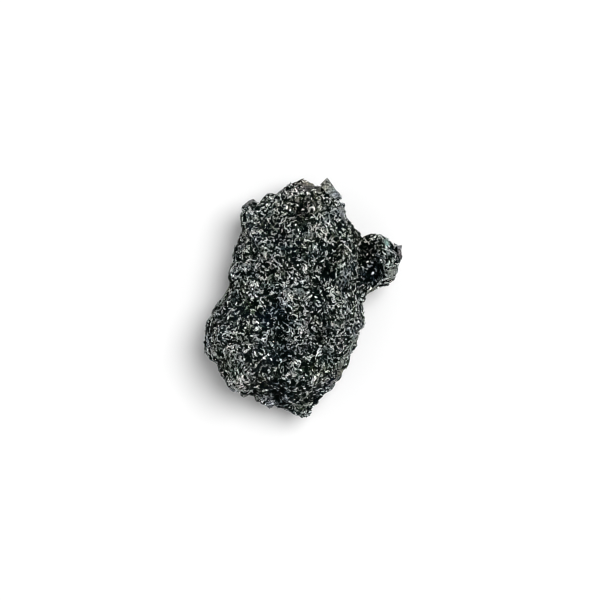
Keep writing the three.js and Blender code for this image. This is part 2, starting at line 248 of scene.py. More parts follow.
# Flat cleavage faces of that side: outline, how light, and how far they stand out.
FACETS = (
    (((5.4, 26.2), (8.35, 21.8), (7.0, 21.4), (5.9, 22.4), (4.9, 23.0), (3.9, 24.7)), 0.78, 0.6),
    (((0.3, 24.5), (2.2, 24.6), (2.4, 23.3), (0.8, 22.9)), 0.1, 0.0),
    (((2.6, 24.0), (3.8, 24.2), (4.0, 23.2), (2.7, 23.0)), 0.15, 0.0),
    (((-0.9, 25.3), (1.4, 25.4), (2.4, 25.1), (2.3, 24.7), (0.8, 24.6), (-0.8, 24.7)), 0.5, 0.1),
    (((7.6, 19.4), (8.5, 20.0), (9.3, 18.7), (8.8, 17.4), (7.9, 18.0)), 0.5, 0.0),
    (((17.6, 12.9), (18.4, 13.0), (18.9, 11.7), (18.2, 11.2), (17.7, 12.0)), 0.55, 0.3),
    (((18.8, 6.8), (20.5, 7.4), (20.6, 5.9), (19.7, 4.4), (18.5, 4.8), (18.3, 5.7)), 0.65, 0.1),
    (((20.5, 11.5), (21.6, 11.8), (21.5, 10.6), (21.6, 8.7), (20.7, 9.4)), 0.4, 0.1),
    (((-1.9, 2.0), (-0.1, 2.3), (0.8, 1.3), (-0.5, 0.2), (-1.4, 0.9)), 0.6, 0.0),
    (((0.0, -4.6), (1.6, -4.7), (0.9, -5.8)), 0.5, 0.0),
    (((10.6, -7.2), (11.3, -7.3), (11.5, -9.3), (11.0, -9.6)), 0.45, 0.0),
    (((10.6, -9.6), (11.0, -10.0), (10.2, -12.1), (8.7, -13.2), (8.3, -12.7), (9.6, -11.6)), 0.6, 0.0),
    (((8.5, -12.9), (9.1, -13.4), (8.3, -15.2), (7.5, -15.0)), 0.55, 0.0),
    (((7.6, -15.4), (9.0, -15.3), (8.2, -16.9), (7.0, -16.6)), 0.5, 0.0),
    (((6.8, -16.9), (7.4, -17.2), (6.3, -18.7), (5.6, -18.8)), 0.45, 0.0),
    (((-13.2, 20.1), (-12.2, 21.1), (-11.0, 21.7), (-10.2, 21.6), (-10.9, 20.9), (-12.3, 19.9)), 0.35, 0.0),
)

# Each is a slab with a smaller one on it as a step. Its rings from the top down: how far each drops, and how
# much wider it is. Then the step, its steepest lean, how much of the matrix it clears, and its chipped rim.
FACET_RINGS = ((0.0, 0.0), (0.12, 0.03), (0.4, -0.03), (1.1, -0.55))
FACET_SEED = SEED + 7
STEP_SIZE = 0.66
STEP_AWAY = 0.28
STEP_HEIGHT = 0.12
STEP_TONE = 0.8
FACET_STEEPEST = 0.8
FACET_CLEARANCE = 90
FACET_CUTS = 3
FACET_STRAY = 0.09
FACET_EDGE_TONE = 0.15

# Stains, where they end and where they are full as shares of their radius, and the soft patches of hue.
STAINS = (
    # x, y, radius, the colour that it multiplies
    (0.6, 23.0, 5.4, (1.17, 1.0, 0.95)), (14.3, 12.3, 3.2, (1.13, 1.00, 0.92)),
    (16.0, 5.3, 3.2, (0.91, 0.97, 1.16)), (18.2, 12.0, 1.2, (0.77, 1.07, 0.99)),
    (21.0, 9.8, 1.6, (1.05, 0.98, 1.10)), (18.6, 7.6, 1.8, (1.02, 1.05, 0.94)),
    (10.1, 14.0, 2.0, (0.99, 1.05, 0.84)), (-10.7, -1.4, 2.0, (0.95, 1.08, 0.85)),
    (-5.2, -3.5, 3.4, (0.91, 0.97, 1.24)), (-16.5, -9.0, 4.0, (0.97, 1.00, 1.06)),
    (-5.0, -11.5, 3.0, (0.93, 0.99, 1.13)), (-4.8, -20.0, 3.2, (0.93, 1.00, 1.18)),
    (-7.8, -22.7, 1.8, (1.06, 0.97, 1.18)), (-13.1, -18.0, 1.8, (1.18, 0.97, 0.96)),
    (7.2, -17.2, 1.6, (1.04, 0.99, 0.98)), (-11.6, 20.9, 1.5, (1.08, 0.98, 0.98)),
    (-0.2, -24.5, 2.6, (0.96, 1.03, 0.95)),
)
STAIN_RIM = 1.3
STAIN_HEART = 0.4
HUE_PATCH = 4.0
HUE_SPREAD = (0.6, 0.0, 0.8)

# Where most of a noise texture's values lie, and how detailed a fine one is.
NOISE_SPAN = (0.3, 0.7)
FINE_DETAIL = 3.0

# The looks of the matrix: its lumps, its bluer patches, its sheen and its fine grain.
MATRIX_LUMP = 1.1
LUMP_DETAIL = 4.0
LUMP_ROUGHNESS = 0.6
MATRIX_COLOURS = (
    (0.3, (0.0, 0.0005, 0.0003)),
    (0.5, (0.0004, 0.0013, 0.001)),
    (0.7, (0.0035, 0.0068, 0.0056)),
)
BLUE_COLOUR = (0.0022, 0.0042, 0.008)
BLUE_PATCH = 7.0
BLUE_SHARES = (0.0, 0.7)
BLUE_SPAN = (0.52, 0.68)
MATRIX_SHEEN_SIZE = 0.8
MATRIX_ROUGHNESS = (0.35, 0.65)
MATRIX_SPECULAR = 0.015
MATRIX_GLOSS = (0.5, 1.0, 0.8)
MATRIX_GRAIN = 0.25
MATRIX_GRAIN_DEPTH = 0.08

# The looks of the scales: their mottling, the lines along them, the tint of each, and their sheen.
MOTTLE_SIZE = 0.3
MOTTLE_SHARES = (0.5, 1.5)
MOTTLE_SPAN = (0.35, 0.65)
STRAND_SHARES = (0.1, 1.9)
STRAND_SPAN = (0.33, 0.67)
STRAND_DEPTH = 0.03
TINTS = (
    (0.0, (0.98, 1.0, 1.02)),
    (0.3, (0.99, 1.0, 1.01)),
    (0.55, (1.0, 1.0, 1.0)),
    (0.8, (0.99, 1.0, 0.98)),
    (0.95, (1.02, 1.0, 0.98)),
)
SHEEN_SIZE = 0.6
SHEEN_SHARES = (0.7, 1.4)

# The looks of the cleavage faces: their darkest and lightest colour, specks, lines that run one way, sheen
# and fine grain.
FACET_COLOURS = ((0.019, 0.023, 0.021), (0.29, 0.316, 0.303))
SPECK_SIZE = 0.5
SPECKS = (
    (0.4, (0.1, 0.11, 0.1)),
    (0.46, (0.7, 0.7, 0.7)),
    (0.56, (1.1, 1.1, 1.1)),
    (0.62, (1.7, 1.7, 1.7)),
)
CLEAVAGE_SIZE = 0.25
CLEAVAGE_TURN = (0.0, 0.3, 0.6)
CLEAVAGE_STRETCH = (1.0, 0.2, 1.0)
CLEAVAGE_SHARES = (0.35, 1.55)
CLEAVAGE_SPAN = (0.36, 0.64)
FACET_SHEEN_SIZE = 0.5
FACET_ROUGHNESS = (0.25, 0.45)
FACET_SPECULAR = 0.35
FACET_GRAIN = 0.3
FACET_GRAIN_DEPTH = 0.03

# The floor, the key light and the room. The light's azimuth goes from +X towards +Y.
FLOOR_SIZE = 3000.0
FLOOR_COLOUR = (0.88, 0.88, 0.88)
FLOOR_ROUGHNESS = 0.8
FLOOR_SPECULAR = 0.1
KEY_AZIMUTH = 32.0
KEY_ELEVATION = 67.0
KEY_DISTANCE = 1500.0
KEY_DIAMETER = 950.0
KEY_POWER = 20.6
SKY_AT_HORIZON = 0.9
SKY_AT_ZENITH = 0.25

# The sockets of a colour mix node, by their places because other sockets share their names.
MIX_SHARE = 0
MIX_FIRST = 6
MIX_SECOND = 7
MIX_RESULT = 2

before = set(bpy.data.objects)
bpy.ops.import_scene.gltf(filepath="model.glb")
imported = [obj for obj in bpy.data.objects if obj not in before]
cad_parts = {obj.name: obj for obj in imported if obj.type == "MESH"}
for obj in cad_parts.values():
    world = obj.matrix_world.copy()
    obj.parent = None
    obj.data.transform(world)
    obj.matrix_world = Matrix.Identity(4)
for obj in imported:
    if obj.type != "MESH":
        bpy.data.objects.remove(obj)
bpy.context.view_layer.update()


# Noise

GRADIENTS = np.random.default_rng(GRADIENT_SEED).normal(size=(GRADIENT_COUNT, 3))
GRADIENTS /= np.linalg.norm(GRADIENTS, axis=1, keepdims=True)


def hashed(cells, seed):
    """A repeatable number of a gradient for each lattice cell."""
    first_shift, second_shift = MIXING_SHIFTS
    mixed = np.bitwise_xor.reduce(cells * AXIS_FACTORS, axis=1) ^ (seed * SEED_FACTOR)
    mixed = (mixed ^ (mixed >> first_shift)) * MIXING_FACTOR & WORD
    return (mixed ^ (mixed >> second_shift)) & (GRADIENT_COUNT - 1)


def noise_at(points, wavelength, seed):
    """Smooth noise between about -1 and 1."""
    scaled = points / wavelength + LATTICE_SHIFT
    cell = np.floor(scaled).astype(np.int64)
    offset = scaled - cell
    fade = offset**3 * (offset * (offset * 6 - 15) + 10)
    total = np.zeros(len(points))
    for corner in itertools.product((0, 1), repeat=3):
        step = np.array(corner)
        weight = np.prod(np.where(step == 1, fade, 1 - fade), axis=1)
        total += weight * np.sum((offset - step) * GRADIENTS[hashed(cell + step, seed)], axis=1)
    return total * NOISE_GAIN


def slope_of(points, wavelength, seed):
    """Which way the noise rises, and how steeply."""
    here = noise_at(points, wavelength, seed)
    steps = np.eye(3) * SLOPE_STEP
    return np.stack([noise_at(points + step, wavelength, seed) - here for step in steps], 1) / SLOPE_STEP


def grains_at(points, size, seed):
    """Which grain of a loose packing each point lies in: the way from the grain's middle, and its cell."""
    cell = np.floor(points / size + LATTICE_SHIFT).astype(np.int64)
    nearest = np.full(len(points), np.inf)
    offset = np.zeros_like(points)
    grain = cell.copy()
    for step in itertools.product((-1, 0, 1), repeat=3):
        there = cell + np.array(step)
        stray = GRAIN_STRAY * GRADIENTS[hashed(there, seed)]
        away = points - (there + 0.5 + stray - LATTICE_SHIFT) * size
        gap = np.sum(away**2, axis=1)
        closer = gap < nearest
        nearest[closer] = gap[closer]
        offset[closer] = away[closer]
        grain[closer] = there[closer]
    return offset, grain


def broken_at(points, size, lean, seed):
    """Flat faces that lean at random, with a step between one and the next."""
    offset, grain = grains_at(points, size, seed)
    return lean * np.sum(offset * GRADIENTS[hashed(grain, seed + 1)], axis=1)


def ridged_at(points, wavelength, seed):
    """Noise folded into sharp crests, from about -0.7 to 0.3."""
    return RIDGE_TOP - np.abs(noise_at(points, wavelength, seed))


# Meshes as arrays


def unit(vectors):
    """The vectors, each made one long."""
    return vectors / np.maximum(np.linalg.norm(vectors, axis=-1, keepdims=True), SHORTEST)


def values_of(items, name, width=1, kind=float):
    """A value or a row of values for each of these parts of a mesh."""
    flat = np.empty(len(items) * width, kind)
    items.foreach_get(name, flat)
    return flat.reshape(-1, width) if width > 1 else flat


def places_of(mesh):
    return values_of(mesh.vertices, "co", 3) / MM


def edges_of(mesh):
    return values_of(mesh.edges, "vertices", 2, np.int32)


def triangles_of(mesh):
    mesh.calc_loop_triangles()
    return values_of(mesh.loop_triangles, "vertices", 3, np.int32)


def move_to(mesh, places):
    """Moves the vertices of a mesh."""
    mesh.vertices.foreach_set("co", (places * MM).astype(np.float32).ravel())
    mesh.update()


def above_floor(places):
    """The places, with those below the floor raised to it."""
    return np.maximum(places, (-np.inf, -np.inf, 0.0))


def vertex_normals(places, triangles):
    """Which way each vertex looks."""
    a, b, c = places[triangles].transpose(1, 0, 2)
    face = np.cross(b - a, c - a)
    total = np.zeros_like(places)
    for corner in range(3):
        for axis in range(3):
            total[:, axis] += np.bincount(triangles[:, corner], face[:, axis], len(places))
    return unit(total)


def smoothed(values, edges, rounds):
    """Values moved towards the mean of their neighbours, some rounds over."""
    count = np.bincount(edges.ravel(), minlength=len(values))[:, None]
    for _ in range(rounds):
        total = np.zeros_like(values)
        for axis in range(values.shape[1]):
            total[:, axis] += np.bincount(edges[:, 0], values[edges[:, 1], axis], len(values))
            total[:, axis] += np.bincount(edges[:, 1], values[edges[:, 0], axis], len(values))
        values = 0.5 * values + 0.5 * total / count
    return values


def inside(places, outline):
    """Which places lie within an outline, seen from above."""
    x, y = places[:, 0], places[:, 1]
    crossed = np.zeros(len(places), bool)
    for (x1, y1), (x2, y2) in zip(outline, outline[1:] + outline[:1]):
        if y1 != y2:
            crossed ^= ((y1 > y) != (y2 > y)) & (x < x1 + (y - y1) * (x2 - x1) / (y2 - y1))
    return crossed


def slab_faces(count, rings=2, start=0):
    """The faces of a slab whose rings have this many corners each: its top, its underside and its edges."""
    ring = range(count)
    last = start + count * (rings - 1)
    faces = [[start + corner for corner in ring], [last + corner for corner in reversed(ring)]]
    for upper in range(start, last, count):
        for corner in ring:
            after = (corner + 1) % count
            faces.append([upper + corner, upper + count + corner, upper + count + after, upper + after])
    return faces


def add_map(mesh, corners):
    """The map that the colours are baked on: a place for each corner of each face."""
    layer = mesh.uv_layers.new(name="OFBake")
    layer.uv.foreach_set("vector", corners.astype(np.float32).ravel())


def add_values(mesh, name, values):
    """A value for each vertex, which a material can read by its name."""
    layer = mesh.attributes.new(name, "FLOAT", "POINT")
    layer.data.foreach_set("value", np.array(values, np.float32))


def new_piece(name, mesh, material):
    """A piece of the stone."""
    piece = bpy.data.objects.new(name, mesh)
    bpy.context.scene.collection.objects.link(piece)
    mesh.materials.clear()
    mesh.materials.append(material)
    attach(piece, STONE_BODY)
    return piece


# The matrix


def modified(mesh, kind, **settings):
    """The mesh after one modifier, in place of the mesh before it."""
    holder = bpy.data.objects.new("holder", mesh)
    bpy.context.scene.collection.objects.link(holder)
    modifier = holder.modifiers.new(kind, kind)
    for name, value in settings.items():
        setattr(modifier, name, value)
    depsgraph = bpy.context.evaluated_depsgraph_get()
    made = bpy.data.meshes.new_from_object(holder.evaluated_get(depsgraph))
    bpy.data.objects.remove(holder)
    bpy.data.meshes.remove(mesh)
    return made


def remeshed(node):
    """A fine, even mesh of the solid."""
    return modified(node.data.copy(), "REMESH", mode="VOXEL", voxel_size=VOXEL * MM)


def thinned(mesh, *fields):
    """The mesh with fewer triangles, and these vectors of the old vertices at the new ones."""
    names = [f"field{order}" for order in range(len(fields))]
    for name, vectors in zip(names, fields):
        layer = mesh.attributes.new(name, "FLOAT_VECTOR", "POINT")
        layer.data.foreach_set("vector", vectors.astype(np.float32).ravel())
    mesh = modified(mesh, "DECIMATE", ratio=KEPT_SHARE)
    kept = [values_of(mesh.attributes[name].data, "vector", 3) for name in names]
    for name in names:
        mesh.attributes.remove(mesh.attributes[name])
    return mesh, *kept


Surface = namedtuple("Surface", "places normals triangles relief")


def matrix_surface(mesh):
    """The smoothed solid, drawn in so that the scales reach its old surface, and how far it stands out."""
    edges = edges_of(mesh)
    places = smoothed(places_of(mesh), edges, SMOOTHING_ROUNDS)
    triangles = triangles_of(mesh)
    normals = vertex_normals(places, triangles)
    normals = unit(smoothed(normals, edges, SMOOTHING_ROUNDS))
    relief = np.sum((places - smoothed(places, edges, RELIEF_ROUNDS)) * normals, axis=1)
    return Surface(places - normals * MATRIX_INSET, normals, triangles, relief)


def side_share(normals):
    """0 on the faces that look up, 1 on the sides and below."""
    return np.clip(1 - normals[:, 2] / SIDE_START, 0, 1)


def under_facets(places, normals):
    """Which places a flat cleavage face covers."""
    covered = np.any([inside(places, outline) for outline, _, _ in FACETS], axis=0)
    return covered & (normals[:, 2] > FACET_UPRIGHT)


def roughened(places, normals):
    """The matrix with its lumps, crests, layers and broken faces. It stays on the floor."""
    height = np.zeros(len(places))
    for order, (wavelength, amount, ridged) in enumerate(MATRIX_RELIEF):
        shape = ridged_at if ridged else noise_at
        height += amount * shape(places, wavelength, SEED + order)
    side = side_share(normals)
    foliage = FOLIAGE_HEIGHT * (1 - SIDE_FOLIAGE_LOSS * side)
    height += foliage * ridged_at(places, FOLIAGE_SIZE, FOLIAGE_SEED)
    height += STRATA_HEIGHT * side * ridged_at(places * STRATA_STRETCH, STRATA_SIZE, STRATA_SEED)
    for order, (size, lean) in enumerate(BREAKS):
        height += broken_at(places, size, lean, BREAK_SEED + order)
    height[under_facets(places, normals)] = 0
    return above_floor(places + normals * height[:, None])


def map_matrix(mesh, places, normals):
    """An even map of the matrix: six views of it, each in its own sixth of the picture."""
    corner_vertex = values_of(mesh.loops, "vertex_index", kind=np.int32)
    first = values_of(mesh.polygons, "loop_start", kind=np.int32)
    total = values_of(mesh.polygons, "loop_total", kind=np.int32)
    face = np.repeat(np.arange(len(first)), total)
    facing = np.add.reduceat(normals[corner_vertex], first)
    axis = np.abs(facing).argmax(1)
    view = (axis * 2 + (facing[np.arange(len(axis)), axis] > 0))[face]
    share = ((places - places.min(0)) / np.ptp(places, axis=0))[corner_vertex]
    across = np.where(axis[face] == 0, share[:, 1], share[:, 0])
    up = np.where(axis[face] == 2, share[:, 1], share[:, 2])
    reach = 1 - 2 * MAP_MARGIN
    u = (view % MAP_COLUMNS + MAP_MARGIN + reach * across) / MAP_COLUMNS
    v = (view // MAP_COLUMNS + MAP_MARGIN + reach * up) / MAP_ROWS
    add_map(mesh, np.stack([u, v], 1))


def build_matrix(material):
    """The matrix, in place of the solid. Returns its surface from before it was thinned."""
    mesh = remeshed(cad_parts[STONE_NODE])
    surface = matrix_surface(mesh)
    rough = roughened(surface.places, surface.normals)
    rough_normals = vertex_normals(rough, surface.triangles)
    rough_normals = unit(smoothed(rough_normals, edges_of(mesh), NORMAL_ROUNDS))
    move_to(mesh, rough)
    mesh, even_places, even_normals = thinned(mesh, surface.places, surface.normals)
    move_to(mesh, above_floor(places_of(mesh)))
    map_matrix(mesh, even_places, even_normals)
    mesh.polygons.foreach_set("use_smooth", np.ones(len(mesh.polygons), bool))
    mesh.name = "stone_matrix"
    piece = new_piece("stone_matrix", mesh, material)
    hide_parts(STONE_NODE)
    return surface._replace(places=rough, normals=rough_normals)


# Places for the scales


def tone_and_shade_at(places):
    """How much lighter or darker the blotches, partly tone and partly painted shade and light, make each
    place.
    """
    total = np.zeros(len(places))
    for x, y, radius, lighter in TONE_AND_SHADE_BLOTCHES:
        distance = np.hypot(places[:, 0] - x, places[:, 1] - y)
        total += lighter * np.exp(-((distance / radius) ** 2))
    return total


def evened(values, places):
    """The values less the mean of their cell, so that no part is lighter or darker by chance."""
    for shift in (0.0, 0.5):
        cells = np.floor(places / EVEN_CELL + shift).astype(int)
        cell = np.unique(cells, axis=0, return_inverse=True)[1].ravel()
        values = values - (np.bincount(cell, values) / np.bincount(cell))[cell]
    return values


def scattered(surface, count, random):
    """Places drawn from the matrix, which way they look, and how far they stand out."""
    places, normals, triangles, relief = surface
    a, b, c = places[triangles].transpose(1, 0, 2)
    crowding = 1 + SIDE_CROWDING * side_share(normals) - UNDERSIDE_THINNING * (normals[:, 2] < LOOKS_DOWN)
    likely = np.linalg.norm(np.cross(b - a, c - a), axis=1) * crowding[triangles].mean(1)
    drawn = triangles[random.choice(len(triangles), count, p=likely / likely.sum())]
    weights = random.dirichlet((1, 1, 1), count)
    place = (places[drawn] * weights[:, :, None]).sum(1)
    normal = unit((normals[drawn] * weights[:, :, None]).sum(1))
    return place, normal, (relief[drawn] * weights).sum(1)


def lightness_at(place, normal, relief, random):
    """How light the scale at each place is. Hollows and steep faces hold darker ones and rises and level
    faces lighter ones, as painted shade and light; dark blotches and dark patches hold darker ones too.
    """
    level = 1 - side_share(normal)
    spread = SPREAD_ON_SIDES + (1 - SPREAD_ON_SIDES) * level
    lightness = evened(random.normal(size=len(place)), place) * spread
    # Painted shade and light: darker scales in hollows and on steep faces, lighter ones on rises and level
    # faces.
    lightness += RELIEF_SHADE_SHARE * relief + LEVEL_LIGHT_SHARE * np.abs(normal[:, 2])
    # The blotches: partly the stone's own tone, partly painted shade and light.
    lightness += tone_and_shade_at(place) * np.maximum(level, TONE_AND_SHADE_ON_SIDES)
    for order, (wavelength, strength) in enumerate(PATCHES):
        lightness += strength * noise_at(place, wavelength, PATCH_SEED + order)
    for order, (wavelength, strength) in enumerate(SIDE_PATCHES):
        lightness += strength * (1 - level) * noise_at(place, wavelength, SIDE_PATCH_SEED + order)
    return lightness


Spots = namedtuple("Spots", "places normals sides")


def scale_spots(surface, random):
    """The spots of each set of scales, sorted from the darkest to the brightest."""
    counts = [kind.count for kind in SCALE_SETS]
    place, normal, relief = scattered(surface, sum(counts), random)
    ranked = np.argsort(lightness_at(place, normal, relief, random))
    bare = under_facets(place, normal)
    sets = np.repeat(np.arange(len(counts)), counts)
    kept = [ranked[(sets == order) & ~bare[ranked]] for order in range(len(counts))]
    return [Spots(place[spots], normal[spots], side_share(normal[spots])) for spots in kept]


def topmost(surface, spots):
    """The point of the photographed face nearest to each spot, turned towards the camera."""
    seen = surface.normals[:, 2] > LOOKS_UP
    places, normals = surface.places[seen], surface.normals[seen]
    gap = np.linalg.norm(places[None, :, :2] - np.array(spots)[:, None], axis=2)
    nearest = (gap - HIGHER_FIRST * places[:, 2]).argmin(axis=1)
    return Spots(places[nearest], unit(normals[nearest] + (0, 0, 1)), np.zeros(len(spots)))


def drawn_to_crests(places, normals, share):
    """The places moved to the nearest crest of the foliage, and the way the crest runs there."""
    slope = slope_of(places, FOLIAGE_SIZE, FOLIAGE_SEED)
    slope -= normals * np.sum(slope * normals, axis=1)[:, None]
    steepness = np.maximum(np.linalg.norm(slope, axis=1), LEAST_STEEPNESS)
    away = noise_at(places, FOLIAGE_SIZE, FOLIAGE_SEED) / steepness
    step = -np.clip(away, -CREST_REACH, CREST_REACH) / steepness
    return places + slope * (share * step)[:, None], unit(np.cross(normals, slope))


def run_ways(runs, normals, sides, random):
    """Which way the scales run: along the crests, and on the sides more level."""
    level = unit(np.cross(normals, (0, 0, 1)))
    level *= np.sign(np.sum(level * runs, axis=1))[:, None]
    return unit(runs + level * SIDE_LEVELNESS * sides[:, None] + random.normal(0, RUN_STRAY, runs.shape))


# The scales

Bed = namedtuple("Bed", "size centre normals runs")


def column(span, count, random):
    """One value from a span for each scale, as a column."""
    return random.uniform(*span, (count, 1))


def laid_out(length, vary, bed, random):
    """Half the length of each scale as a column, and the ways along it, across it and out of its face."""
    count = len(bed.centre)
    half_length = bed.size * np.clip(random.lognormal(math.log(length), vary, count), *LENGTH_LIMITS)
    tilt = np.clip(np.abs(random.normal(0, TIP_RISE, count)) / half_length, 0, STEEPEST_TILT)
    sideways = unit(np.cross(bed.normals, random.normal(size=bed.normals.shape)))
    facing = unit(bed.normals * np.cos(tilt)[:, None] + sideways * np.sin(tilt)[:, None])
    across = unit(np.cross(facing, bed.runs))
    return half_length[:, None], np.cross(across, facing), across, facing


def blades(kind, bed, random):
    """Curved slivers over a keel: vertices per blade, how far across it each lies, and the faces."""
    count = len(bed.centre)
    half_length, along, across, facing = laid_out(kind.size, kind.vary, bed, random)
    half_width = np.clip(half_length * column(BLADE_WIDTHS, count, random), *WIDTH_LIMITS)
    depth = half_width * column(BLADE_DEPTHS, count, random)
    lean = column(KEEL_LEANS, count, random)
    bend = column(BENDS, count, random) * half_length
    section = ((1, TOP_RISE), (lean, -KEEL_DROP), (-1, TOP_RISE))
    rows, strands = [], []
    for station in np.sin(np.linspace(-0.5, 0.5, kind.cuts + 2) * math.pi):
        stray = column(SPINE_STRAYS, count, random) * half_width
        aside = bend * (station**2 - BEND_MIDDLE) + stray
        spine = bed.centre + along * half_length * station + across * aside
        swell = math.sqrt(max(1 - station**2, 0)) * column(SWELLS, count, random)
        is_tip = math.isclose(abs(station), 1)
        for side, rise in [(0, 0)] if is_tip else section:
            rows.append(spine + across * half_width * side * swell + facing * depth * rise * swell)
            strands.append(half_width * side)
    return np.stack(rows, 1), np.concatenate(strands, 1), blade_faces(len(rows) - 1)


def blade_faces(last):
    """The faces of a blade: a tip, bands of three sides, and the tip that is the last vertex."""
    faces = [(0, 2, 1), (0, 3, 2), (0, 1, 3)]
    for start in range(1, last - 3, 3):
        for side in range(3):
            here, there = start + side, start + (side + 1) % 3
            faces.append((here, there, there + 3, here + 3))
    return faces + [(last, last - 3, last - 2), (last, last - 2, last - 1), (last, last - 1, last - 3)]


def plates(kind, bed, random):
    """Thin flakes with uneven corners, given as the blades are."""
    count = len(bed.centre)
    half_length, along, across, facing = laid_out(PLATE_SIZE * kind.size, kind.vary, bed, random)
    half_width = half_length * column(PLATE_WIDTHS, count, random)
    half_way_through = facing * column(PLATE_THICKNESSES, count, random) * 0.5
    turn = column((0, math.tau), count, random)
    top, bottom, strands = [], [], []
    sides = kind.cuts + 2
    for corner in range(sides):
        angle = turn + math.tau * (corner + column(CORNER_STRAYS, count, random)) / sides
        reach = column(CORNER_REACHES, count, random)
        aside = reach * half_width * np.sin(angle)
        place = bed.centre + along * (reach * half_length * np.cos(angle)) + across * aside
        strands.append(aside)
        top.append(place + half_way_through)
        bottom.append(place - half_way_through)
    return np.stack(top + bottom, 1), np.concatenate(strands * 2, 1), slab_faces(sides)


def cell_places(faces):
    """Where each corner of one scale lies in its cell of the map: its faces side by side in rows."""
    across = math.ceil(math.sqrt(len(faces)))
    places = []
    for order, face in enumerate(faces):
        middle = (np.array([order % across, order // across]) + 0.5) / across
        turn = math.tau * (np.arange(len(face)) + 0.5) / len(face)
        places.append(middle + np.stack([np.cos(turn), np.sin(turn)], 1) * CELL_REACH / across)
    return np.concatenate(places)


Batch = namedtuple("Batch", "vertices corners counts map_places looks")


def batch_of(make, kind, bed, tones, first_vertex, cells, cells_across, random):
    """The arrays of all scales of one make. Each has a cell of the map to itself."""
    vertices, strands, faces = make(kind, bed, random)
    count, each = vertices.shape[:2]
    corners = np.concatenate(faces) + (np.arange(count) * each + first_vertex)[:, None]
    counts = np.tile([len(face) for face in faces], count)
    cell_corner = np.stack([cells % cells_across, cells // cells_across], 1)[:, None, :]
    map_places = ((cell_corner + cell_places(faces)[None]) / cells_across).reshape(-1, 2)
    tints = random.uniform(size=count)
    strands = strands + STRAND_RANGE * random.uniform(size=(count, 1))
    looks = np.stack([np.repeat(tones, each), np.repeat(tints, each), strands.ravel()], 1)
    return Batch(vertices.reshape(-1, 3), corners.ravel(), counts, map_places, looks)


def joined_mesh(name, batches):
    """One mesh of these scales, with the values that their material reads."""
    vertices, corners, counts, map_places, looks = map(np.concatenate, zip(*batches))
    mesh = bpy.data.meshes.new(name)
    mesh.vertices.add(len(vertices))
    mesh.loops.add(len(corners))
    mesh.polygons.add(len(counts))
    mesh.loops.foreach_set("vertex_index", corners.astype(np.int32))
    starts = np.concatenate([[0], np.cumsum(counts)[:-1]])
    mesh.polygons.foreach_set("loop_start", starts.astype(np.int32))
    mesh.polygons.foreach_set("loop_total", counts.astype(np.int32))
    move_to(mesh, above_floor(vertices))
    add_map(mesh, map_places)
    for title, values in zip(("tone", "tint", "strand"), looks.T):
        add_values(mesh, title, values)
    mesh.validate()
    mesh.polygons.foreach_set("use_smooth", np.zeros(len(mesh.polygons), bool))
    return mesh


def build_scales(kind, spots, random):
    """One joined mesh of scales at these spots, which go from the darkest to the brightest."""
    places, normals, sides = spots
    count = len(places)
    lift = kind.lift + random.uniform(*LIFT_STRAY, count)
    places, runs = drawn_to_crests(places + normals * lift[:, None], normals, kind.crested)
    runs = run_ways(runs, normals, sides, random)
    bed = Bed(1 - SIDE_FINENESS * sides, places, normals, runs)
    is_blade = random.uniform(size=count) < kind.blades
    tones = np.linspace(0, 1, count)
    cells_across = math.ceil(math.sqrt(count))
    batches = []
    first_vertex, first_cell = 0, 0
    for make, chosen in ((blades, is_blade), (plates, ~is_blade)):
        cells = np.arange(first_cell, first_cell + chosen.sum())
        some = Bed(*(values[chosen] for values in bed))
        batch = batch_of(make, kind, some, tones[chosen], first_vertex, cells, cells_across, random)
        first_vertex += len(batch.vertices)
        first_cell += len(cells)
        batches.append(batch)
    return new_piece(kind.name, joined_mesh(kind.name, batches), scale_material(kind))


# The cleavage faces


def fitted_plane(surface, outline):
    """The level of the matrix under an outline, and how it slopes: z = level + slope . (x, y)."""
    under = inside(surface.places, outline) & (surface.normals[:, 2] > LOOKS_UP)
    flat = np.column_stack([np.ones(under.sum()), surface.places[under, :2]])
    plane = np.linalg.lstsq(flat, surface.places[under, 2], rcond=None)[0]
    plane[1:] *= min(1.0, FACET_STEEPEST / np.linalg.norm(plane[1:]))
    plane[0] = np.percentile(surface.places[under, 2] - flat[:, 1:] @ plane[1:], FACET_CLEARANCE)
    return plane


def anticlockwise(outline):
    """The outline, turned round if it runs clockwise."""
    x, y = np.array(outline).T
    area = 0.5 * np.sum(x * np.roll(y, -1) - np.roll(x, -1) * y)
    return outline if area > 0 else outline[::-1]


def chipped(outline, random):
    """The outline with more corners, each a little off its line."""
    corners = np.array(outline)
    after = np.roll(corners, -1, axis=0)
    shares = np.arange(FACET_CUTS) / FACET_CUTS
    rim = (corners[:, None] + (after - corners)[:, None] * shares[:, None]).reshape(-1, 2)
    return rim + random.uniform(-FACET_STRAY, FACET_STRAY, rim.shape)


def stepped(rim, random):
    """A smaller outline, moved towards one side of the rim."""
    middle = rim.mean(0)
    towards = rim[random.integers(len(rim))] - middle
    return middle + (rim - middle) * STEP_SIZE + towards * STEP_AWAY


def slab_vertices(rim, plane, lift):
    """The vertices of a slab over a plane, ring by ring from the top down."""
    level, slope_x, slope_y = plane
    middle = rim.mean(0)
    vertices = []
    for drop, spread in FACET_RINGS:
        for x, y in middle + (rim - middle) * (1 + spread):
            vertices.append((x, y, level + slope_x * x + slope_y * y + lift - drop))
    return vertices


